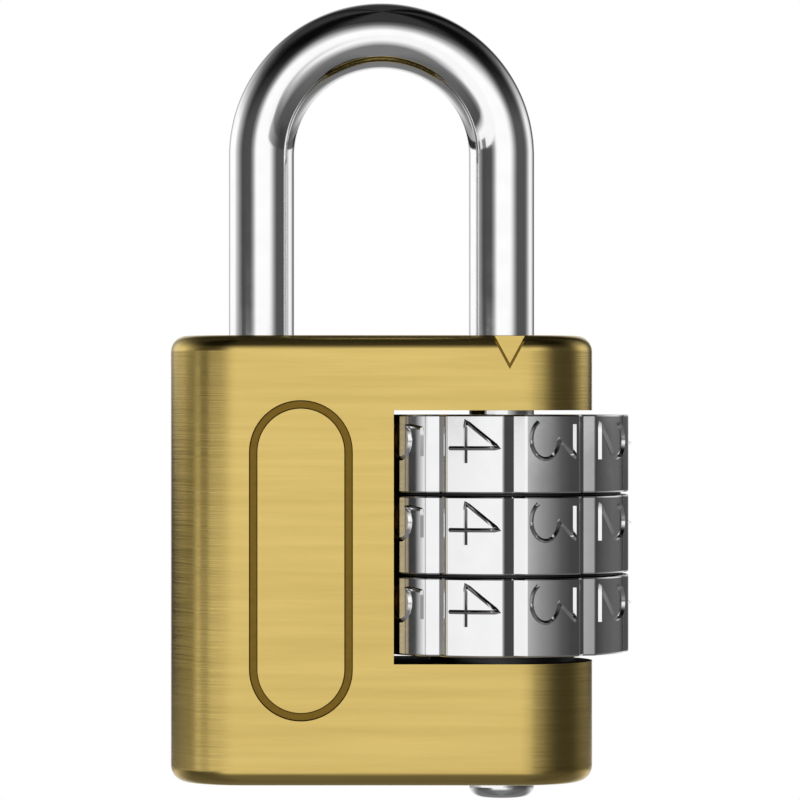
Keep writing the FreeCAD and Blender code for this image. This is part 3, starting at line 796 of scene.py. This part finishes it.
# %% [markdown]
# Brushed brass: fine scratches run level round the body. They are noise, drawn out the way the brush
# went. Broad noise, 20 times longer than high, varies the colour. Fine noise, about 80 times longer
# than high, varies the roughness and is a very shallow bump, which smears reflections upwards and
# downwards as real brushing does. How far a face looks up or down, from 0 to 1, says which way its
# scratches go.

# %% Helper: brushed noise
level_until, lengthwise_from = 0.6, 0.8


def brushed_noise(metal, scale, drawn_out, detail):
    """Scratches that run level round the sides, and along the width on the top and the floor."""
    tree = metal.node_tree
    level = add_noise(metal, scale, (drawn_out, drawn_out, 1), detail)
    lengthwise = add_noise(metal, scale, (drawn_out, 1, drawn_out), detail)
    facing = tree.nodes.new("ShaderNodeSeparateXYZ")
    tree.links.new(tree.nodes.new("ShaderNodeTexCoord").outputs["Normal"], facing.inputs[0])
    upward = tree.nodes.new("ShaderNodeMath")
    upward.operation = "ABSOLUTE"
    tree.links.new(facing.outputs["Z"], upward.inputs[0])
    share = tree.nodes.new("ShaderNodeMapRange")
    share.inputs["From Min"].default_value = level_until
    share.inputs["From Max"].default_value = lengthwise_from
    tree.links.new(upward.outputs[0], share.inputs["Value"])
    mixed = tree.nodes.new("ShaderNodeMix")
    tree.links.new(share.outputs["Result"], mixed.inputs["Factor"])
    tree.links.new(level, mixed.inputs["A"])
    tree.links.new(lengthwise, mixed.inputs["B"])
    return mixed.outputs["Result"]


# %% Brushed brass
scratch_depth, grain_depth = 0.004 * mm, 0.01 * mm
brass, brass_shader = new_metal("brushed_brass", (0.69, 0.51, 0.162), 0.22)
fine = brushed_noise(brass, scale=9000, drawn_out=0.012, detail=3)
broad = brushed_noise(brass, scale=900, drawn_out=0.05, detail=4)
brass_colour = tint(brass, broad, (0.65, 0.478, 0.147), (0.73, 0.542, 0.177))
brass.node_tree.links.new(brass_colour, brass_shader.inputs["Base Color"])
brass.node_tree.links.new(spread(brass, fine, 0.17, 0.27), brass_shader.inputs["Roughness"])
bump(brass, brass_shader, fine, scratch_depth)

# %% [markdown]
# The other two materials of the block are painted shade and painted shadow, not brushed, so their noise
# is cloudy and equal in every direction. The black one, the painted shadow under the wheels, is no bare
# metal, and it mirrors next to nothing.

# %% Painted shade brass and painted shadow brass
# Darker brass for the engraving floors and the window wall: painted shade.
painted_shade_brass, painted_shade_shader = new_metal("painted_shade_brass", (0.21, 0.127, 0.022), 0.34)
cloud = add_noise(painted_shade_brass, 1500)
vary(painted_shade_brass, painted_shade_shader, cloud, (0.178, 0.106, 0.017), (0.244, 0.149, 0.027), 0.28, 0.42)
bump(painted_shade_brass, painted_shade_shader, cloud, scratch_depth)

# Near black matt brass on the window floor under the wheels: a painted shadow.
painted_shadow_brass, painted_shadow_shader = new_metal("painted_shadow_brass", (0.02, 0.017, 0.012), 0.85)
cloud = add_noise(painted_shadow_brass, 1500)
vary(painted_shadow_brass, painted_shadow_shader, cloud, (0.012, 0.01, 0.007), (0.026, 0.022, 0.016), 0.78, 0.92)
painted_shadow_shader.inputs["Metallic"].default_value = 0
painted_shadow_shader.inputs["Specular IOR Level"].default_value = 0.1
bump(painted_shadow_brass, painted_shadow_shader, cloud, grain_depth)

# %% [markdown]
# Polished chrome on the shackle and the wheels: nearly a mirror, with a faint haze from polishing.

# %% Chrome
def new_chrome(name, white, haze):
    chrome, shader = new_metal(name, (white, white, white + 0.01), haze)
    dark = (white - 0.02, white - 0.02, white - 0.01)
    light = (white + 0.02, white + 0.02, white + 0.025)
    vary(chrome, shader, add_noise(chrome, 500, detail=5), dark, light, haze * 0.8, haze * 1.25)
    bump(chrome, shader, add_noise(chrome, 2500, detail=2), 0.0004 * mm)
    return chrome


shackle_chrome = new_chrome("polished_shackle", 0.93, 0.06)
wheel_chrome = new_chrome("polished_wheel", 0.89, 0.07)

# %% [markdown]
# The small pieces inside: drawn spring wire, ground steel balls, turned brass, and near black steel
# for the washers, a painted shade: their edges are what one sees in the slits between the wheels,
# and the black keeps those slits dark.

# %% Inner metals
def new_inner(name, colour, roughness, scale, stretch):
    metal, shader = new_metal(name, colour, roughness)
    grain = add_noise(metal, scale, stretch)
    dark = tuple(channel * 0.88 for channel in colour)
    vary(metal, shader, grain, dark, colour, roughness * 0.8, roughness * 1.3)
    bump(metal, shader, grain, 0.002 * mm)
    return metal


spring_wire = new_inner("drawn_spring_wire", (0.55, 0.55, 0.56), 0.25, 3000, (1, 1, 1))
ground_steel = new_inner("ground_steel", (0.42, 0.42, 0.44), 0.32, 1500, (1, 1, 6))
turned_brass = new_inner("turned_brass", (0.72, 0.54, 0.20), 0.28, 1200, (1, 1, 12))
# Near black steel for the washers: a painted shade for the slits between the wheels.
painted_shade_steel = new_inner("painted_shade_black_steel", (0.05, 0.05, 0.052), 0.4, 1500, (1, 1, 6))

# %% Who wears which metal
for piece in [shackle] + wheels + numbers:
    piece.data.materials.clear()
    piece.data.materials.append(shackle_chrome if piece is shackle else wheel_chrome)
inner_finishes = {"bottom_bush": turned_brass, "heel_clip": ground_steel, "reset_spring": spring_wire}
for number in (1, 2, 3):
    inner_finishes[f"code_ring_{number}"] = turned_brass
    inner_finishes[f"detent_ball_{number}"] = ground_steel
    inner_finishes[f"detent_spring_{number}"] = spring_wire
for name in ("spacer_12", "spacer_23", "spacer_bottom"):
    inner_finishes[name] = painted_shade_steel
for name, finish in inner_finishes.items():
    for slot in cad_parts[name].material_slots:
        slot.material = finish
print("inner pieces finished:", len(inner_finishes))

# %% [markdown]
# The studio. Polished metal shows the room, so the room is what is lit: a broad white front with
# dark cards to its sides, drawn straight into the world by the direction that a ray leaves in.
# Height and heading are worked out from that direction, and colour ramps say how bright the room is
# at each heading. There is one for the level of the shackle, one for the narrow level that the
# wheels show, and one below it that the brushed body picks up. Two more lie below these: one that
# carries the dark bands of the legs on round the underside of the bow, and the grey at the bottom.

# %% Helpers: sums, ramps and borders
world = bpy.data.worlds.new("studio_room")
bpy.context.scene.world = world
world.use_nodes = True
tree = world.node_tree
tree.nodes.clear()


def maths(kind, *values):
    """One sum; each value is a plain number or what another node gives."""
    node = tree.nodes.new("ShaderNodeMath")
    node.operation = kind
    for socket, value in zip(node.inputs, values):
        if isinstance(value, (int, float)):
            socket.default_value = value
        else:
            tree.links.new(value, socket)
    return node.outputs[0]


def ramp(value, low, high, stops):
    """A smooth brightness for a value between low and high, given at a few stops."""
    scaled = tree.nodes.new("ShaderNodeMapRange")
    scaled.inputs["From Min"].default_value = low
    scaled.inputs["From Max"].default_value = high
    tree.links.new(value, scaled.inputs["Value"])
    node = tree.nodes.new("ShaderNodeValToRGB")
    elements = node.color_ramp.elements
    while len(elements) > 1:
        elements.remove(elements[-1])
    for index, (place, level) in enumerate(stops):
        element = elements[0] if index == 0 else elements.new((place - low) / (high - low))
        element.position = (place - low) / (high - low)
        element.color = (level, level, level, 1)
    tree.links.new(scaled.outputs["Result"], node.inputs["Fac"])
    return node.outputs["Color"]


def mixed_colours(kind, first, second, share=None):
    """Two colours mixed, by a share or, where none is given, in full."""
    node = tree.nodes.new("ShaderNodeMix")
    node.data_type = "RGBA"
    node.blend_type = kind
    node.inputs["Factor"].default_value = 1
    if share is not None:
        tree.links.new(share, node.inputs["Factor"])
    for socket, value in zip([item for item in node.inputs if item.type == "RGBA"], (first, second)):
        tree.links.new(value, socket)
    return [item for item in node.outputs if item.type == "RGBA"][0]


def stacked(lower, upper, start, end):
    """One level below the start and another above the end, with a soft border between."""
    border = tree.nodes.new("ShaderNodeMapRange")
    border.inputs["From Min"].default_value = start
    border.inputs["From Max"].default_value = end
    tree.links.new(elevation, border.inputs["Value"])
    return mixed_colours("MIX", lower, upper, border.outputs["Result"])


# %% Heading and height of a direction
direction = tree.nodes.new("ShaderNodeTexCoord").outputs["Generated"]
split = tree.nodes.new("ShaderNodeSeparateXYZ")
tree.links.new(direction, split.inputs[0])
degrees = 180 / math.pi
to_front = maths("MULTIPLY", split.outputs["Y"], -1)
heading = maths("MULTIPLY", maths("ARCTAN2", split.outputs["X"], to_front), degrees)
elevation = maths("MULTIPLY", maths("ARCSINE", split.outputs["Z"]), degrees)


def all_round(stops):
    """Brightness by heading in degrees: 0 is the front, and to the right is positive."""
    return ramp(heading, -180, 180, stops)


# %% The levels of the room, from the top down
shackle_level = all_round([
    (-180, 0.9), (-166, 0.9), (-160, 0.3), (-150, 0.6), (-140, 1.05), (-108, 1.05), (-97, 0.6),
    (-80, 0.22), (-70, 0.07), (-38, 0.08), (-28, 0.33), (-18, 0.95), (-14, 1.05), (28, 1.05),
    (36, 0.8), (46, 0.33), (56, 0.09), (88, 0.09), (97, 0.2), (108, 0.6), (118, 1.0), (134, 0.8),
    (146, 0.1), (160, 0.1), (166, 0.9), (180, 0.9)])
wheel_level = all_round([
    (-180, 0.9), (-166, 0.9), (-160, 0.02), (-130, 0.03), (-100, 0.03), (-86, 0.05), (-80, 0.55),
    (-76, 0.92), (-73, 0.95), (-71, 0.24), (-57, 0.24), (-55, 0.97), (-30, 1.0), (18, 1.0),
    (23, 0.45), (34, 0.3), (44, 0.2), (54, 0.1), (64, 0.06), (92, 0.05), (106, 0.1), (120, 0.13),
    (132, 0.13), (142, 0.05), (160, 0.03), (166, 0.9), (180, 0.9)])
body_level = all_round([
    (-180, 0.9), (-166, 0.9), (-160, 0.3), (-130, 0.32), (-100, 0.5), (-84, 0.7), (-74, 1.0),
    (-30, 1.0), (0, 1.0), (12, 0.62), (24, 0.26), (44, 0.1), (64, 0.05), (92, 0.06), (120, 0.15),
    (140, 0.25), (160, 0.5), (166, 0.9), (180, 0.9)])
under_level = all_round([
    (-180, 0.9), (-150, 0.8), (-112, 0.25), (-97, 0.08), (-52, 0.08), (-40, 0.3), (-30, 1.0),
    (12, 1.0), (24, 0.5), (44, 0.1), (97, 0.08), (112, 0.25), (150, 0.8), (180, 0.9)])
lowest_level = all_round([
    (-180, 0.2), (-110, 0.16), (-80, 0.12), (-50, 0.14), (-20, 0.2), (20, 0.2), (50, 0.14),
    (80, 0.12), (110, 0.16), (180, 0.2)])
height_level = ramp(elevation, -90, 90, [
    (-90, 1.0), (15, 1.0), (26, 0.5), (37, 0.14), (48, 0.035), (90, 0.035)])

# %% [markdown]
# The levels are stacked from the bottom up. Each begins at a soft border, whose start and end are
# given in degrees of height. The room gets dark overhead, and a small dark door straight behind the
# padlock keeps the slits between the wheels dark.

# %% The levels stacked, and the door
borders = [(under_level, -38, -18), (body_level, -14, -8.5), (wheel_level, -4.8, -4),
           (shackle_level, 0.1, 0.7)]
room_colour = lowest_level
for level, start, end in borders:
    room_colour = stacked(room_colour, level, start, end)

door_darkness = 0.97
behind = ramp(maths("ABSOLUTE", heading), 0, 180, [(0, 0), (174, 0), (175, 1), (180, 1)])
near_level = ramp(maths("ABSOLUTE", elevation), 0, 90, [(0, 1), (4, 1), (5, 0), (90, 0)])
door = maths("SUBTRACT", 1, maths("MULTIPLY", maths("MULTIPLY", behind, near_level), door_darkness))
for shade in (height_level, door):
    room_colour = mixed_colours("MULTIPLY", room_colour, shade)

# %% [markdown]
# The backdrop is white, as in a catalogue picture. The camera sees it plain. Polished metal sees it
# too, with the dark cards in front of it. All other light from around is an even grey.

# %% White backdrop
def backdrop(colour):
    """Light of one colour, or of a colour that is worked out."""
    node = tree.nodes.new("ShaderNodeBackground")
    node.inputs["Strength"].default_value = 1
    if isinstance(colour, tuple):
        node.inputs["Color"].default_value = colour
    else:
        tree.links.new(colour, node.inputs["Color"])
    return node.outputs[0]


def either(choice, first, second):
    """The first where the choice is 0 and the second where it is 1."""
    node = tree.nodes.new("ShaderNodeMixShader")
    for socket, value in zip(node.inputs, (choice, first, second)):
        tree.links.new(value, socket)
    return node.outputs[0]


path = tree.nodes.new("ShaderNodeLightPath").outputs
direct = maths("ADD", path["Is Camera Ray"], path["Is Glossy Ray"])
shown = maths("MINIMUM", maths("ADD", direct, path["Is Transmission Ray"]), 1)
seen_room = either(path["Is Camera Ray"], backdrop(room_colour), backdrop((1, 1, 1, 1)))
output = tree.nodes.new("ShaderNodeOutputWorld")
tree.links.new(either(shown, backdrop((0.5, 0.5, 0.5, 1)), seen_room), output.inputs["Surface"])

# %% [markdown]
# The padlock hangs, so the pale floor is some way below it. Its colour is painted darker in the middle,
# under the padlock, as a painted shadow, and gets lighter outwards; towards its rim it fades out into
# the white backdrop without an edge. A soft lamp above lights it, and the padlock's own soft shadow
# falls on it. The metal doesn't mirror the floor, because the low part of the room stands in for it.

# %% Pale floor, with a painted shadow in the middle
floor_drop, floor_radius = 140 * mm, 740 * mm
start_clean()
bpy.ops.mesh.primitive_circle_add(vertices=96, radius=floor_radius, fill_type="NGON",
                                  location=(0, 0, shackle_low.z - floor_drop))
floor = bpy.context.object
floor.name = "pale_floor"
floor.visible_glossy = False
pale = bpy.data.materials.new("pale_floor")
pale.use_nodes = True
paint = pale.node_tree.nodes["Principled BSDF"]
paint.inputs["Roughness"].default_value = 0.9
floor_nodes, floor_links = pale.node_tree.nodes, pale.node_tree.links
from_middle = floor_nodes.new("ShaderNodeVectorMath")
from_middle.operation = "LENGTH"
floor_links.new(floor_nodes.new("ShaderNodeTexCoord").outputs["Object"], from_middle.inputs[0])


def fade(start, end, at_start, at_end):
    """A value that changes smoothly with the distance from the middle of the floor."""
    node = floor_nodes.new("ShaderNodeMapRange")
    node.interpolation_type = "SMOOTHSTEP"
    names = ("From Min", "From Max", "To Min", "To Max")
    for name, value in zip(names, (start, end, at_start, at_end)):
        node.inputs[name].default_value = value
    floor_links.new(from_middle.outputs["Value"], node.inputs["Value"])
    return node.outputs["Result"]


# The floor's colour is darker in the middle under the padlock: a painted shadow.
painted_shadow_tone = fade(220 * mm, 560 * mm, at_start=0.39, at_end=0.94)
paint_cover = fade(400 * mm, 720 * mm, at_start=1, at_end=0)
floor_links.new(painted_shadow_tone, paint.inputs["Base Color"])
floor_links.new(paint_cover, paint.inputs["Alpha"])
floor.data.materials.append(pale)

# %% Soft lamp
lamp_place, lamp_aim = Vector((-100, -150, 600)) * mm, Vector((0, 0, -100)) * mm
lamp = bpy.data.lights.new("overhead", "AREA")
lamp.shape = "DISK"
lamp.size = 500 * mm
lamp.energy = 5.0
overhead = bpy.data.objects.new("overhead", lamp)
overhead.location = lamp_place
overhead.rotation_euler = (lamp_aim - lamp_place).to_track_quat("-Z", "Y").to_euler()
overhead.visible_glossy = False
bpy.context.collection.objects.link(overhead)

# %% [markdown]
# The camera stands level in front of the padlock, as the photograph was taken. A long lens keeps the
# upright edges upright, and a small shift sets the object in the frame.

# %% Camera
camera_x, camera_distance, camera_drop = 1.75 * mm, 400 * mm, 32.4 * mm
focal_length, picture_shift = 189.5, 0.0122
scene = bpy.context.scene
lens = bpy.data.cameras.new("camera")
camera = bpy.data.objects.new("camera", lens)
scene.collection.objects.link(camera)
scene.camera = camera
lens.sensor_width = 36
lens.lens = focal_length
lens.shift_y = picture_shift
camera.location = (camera_x, -camera_distance, -camera_drop)
camera.rotation_euler = (math.pi / 2, 0, 0)
scene.view_settings.view_transform = "Standard"
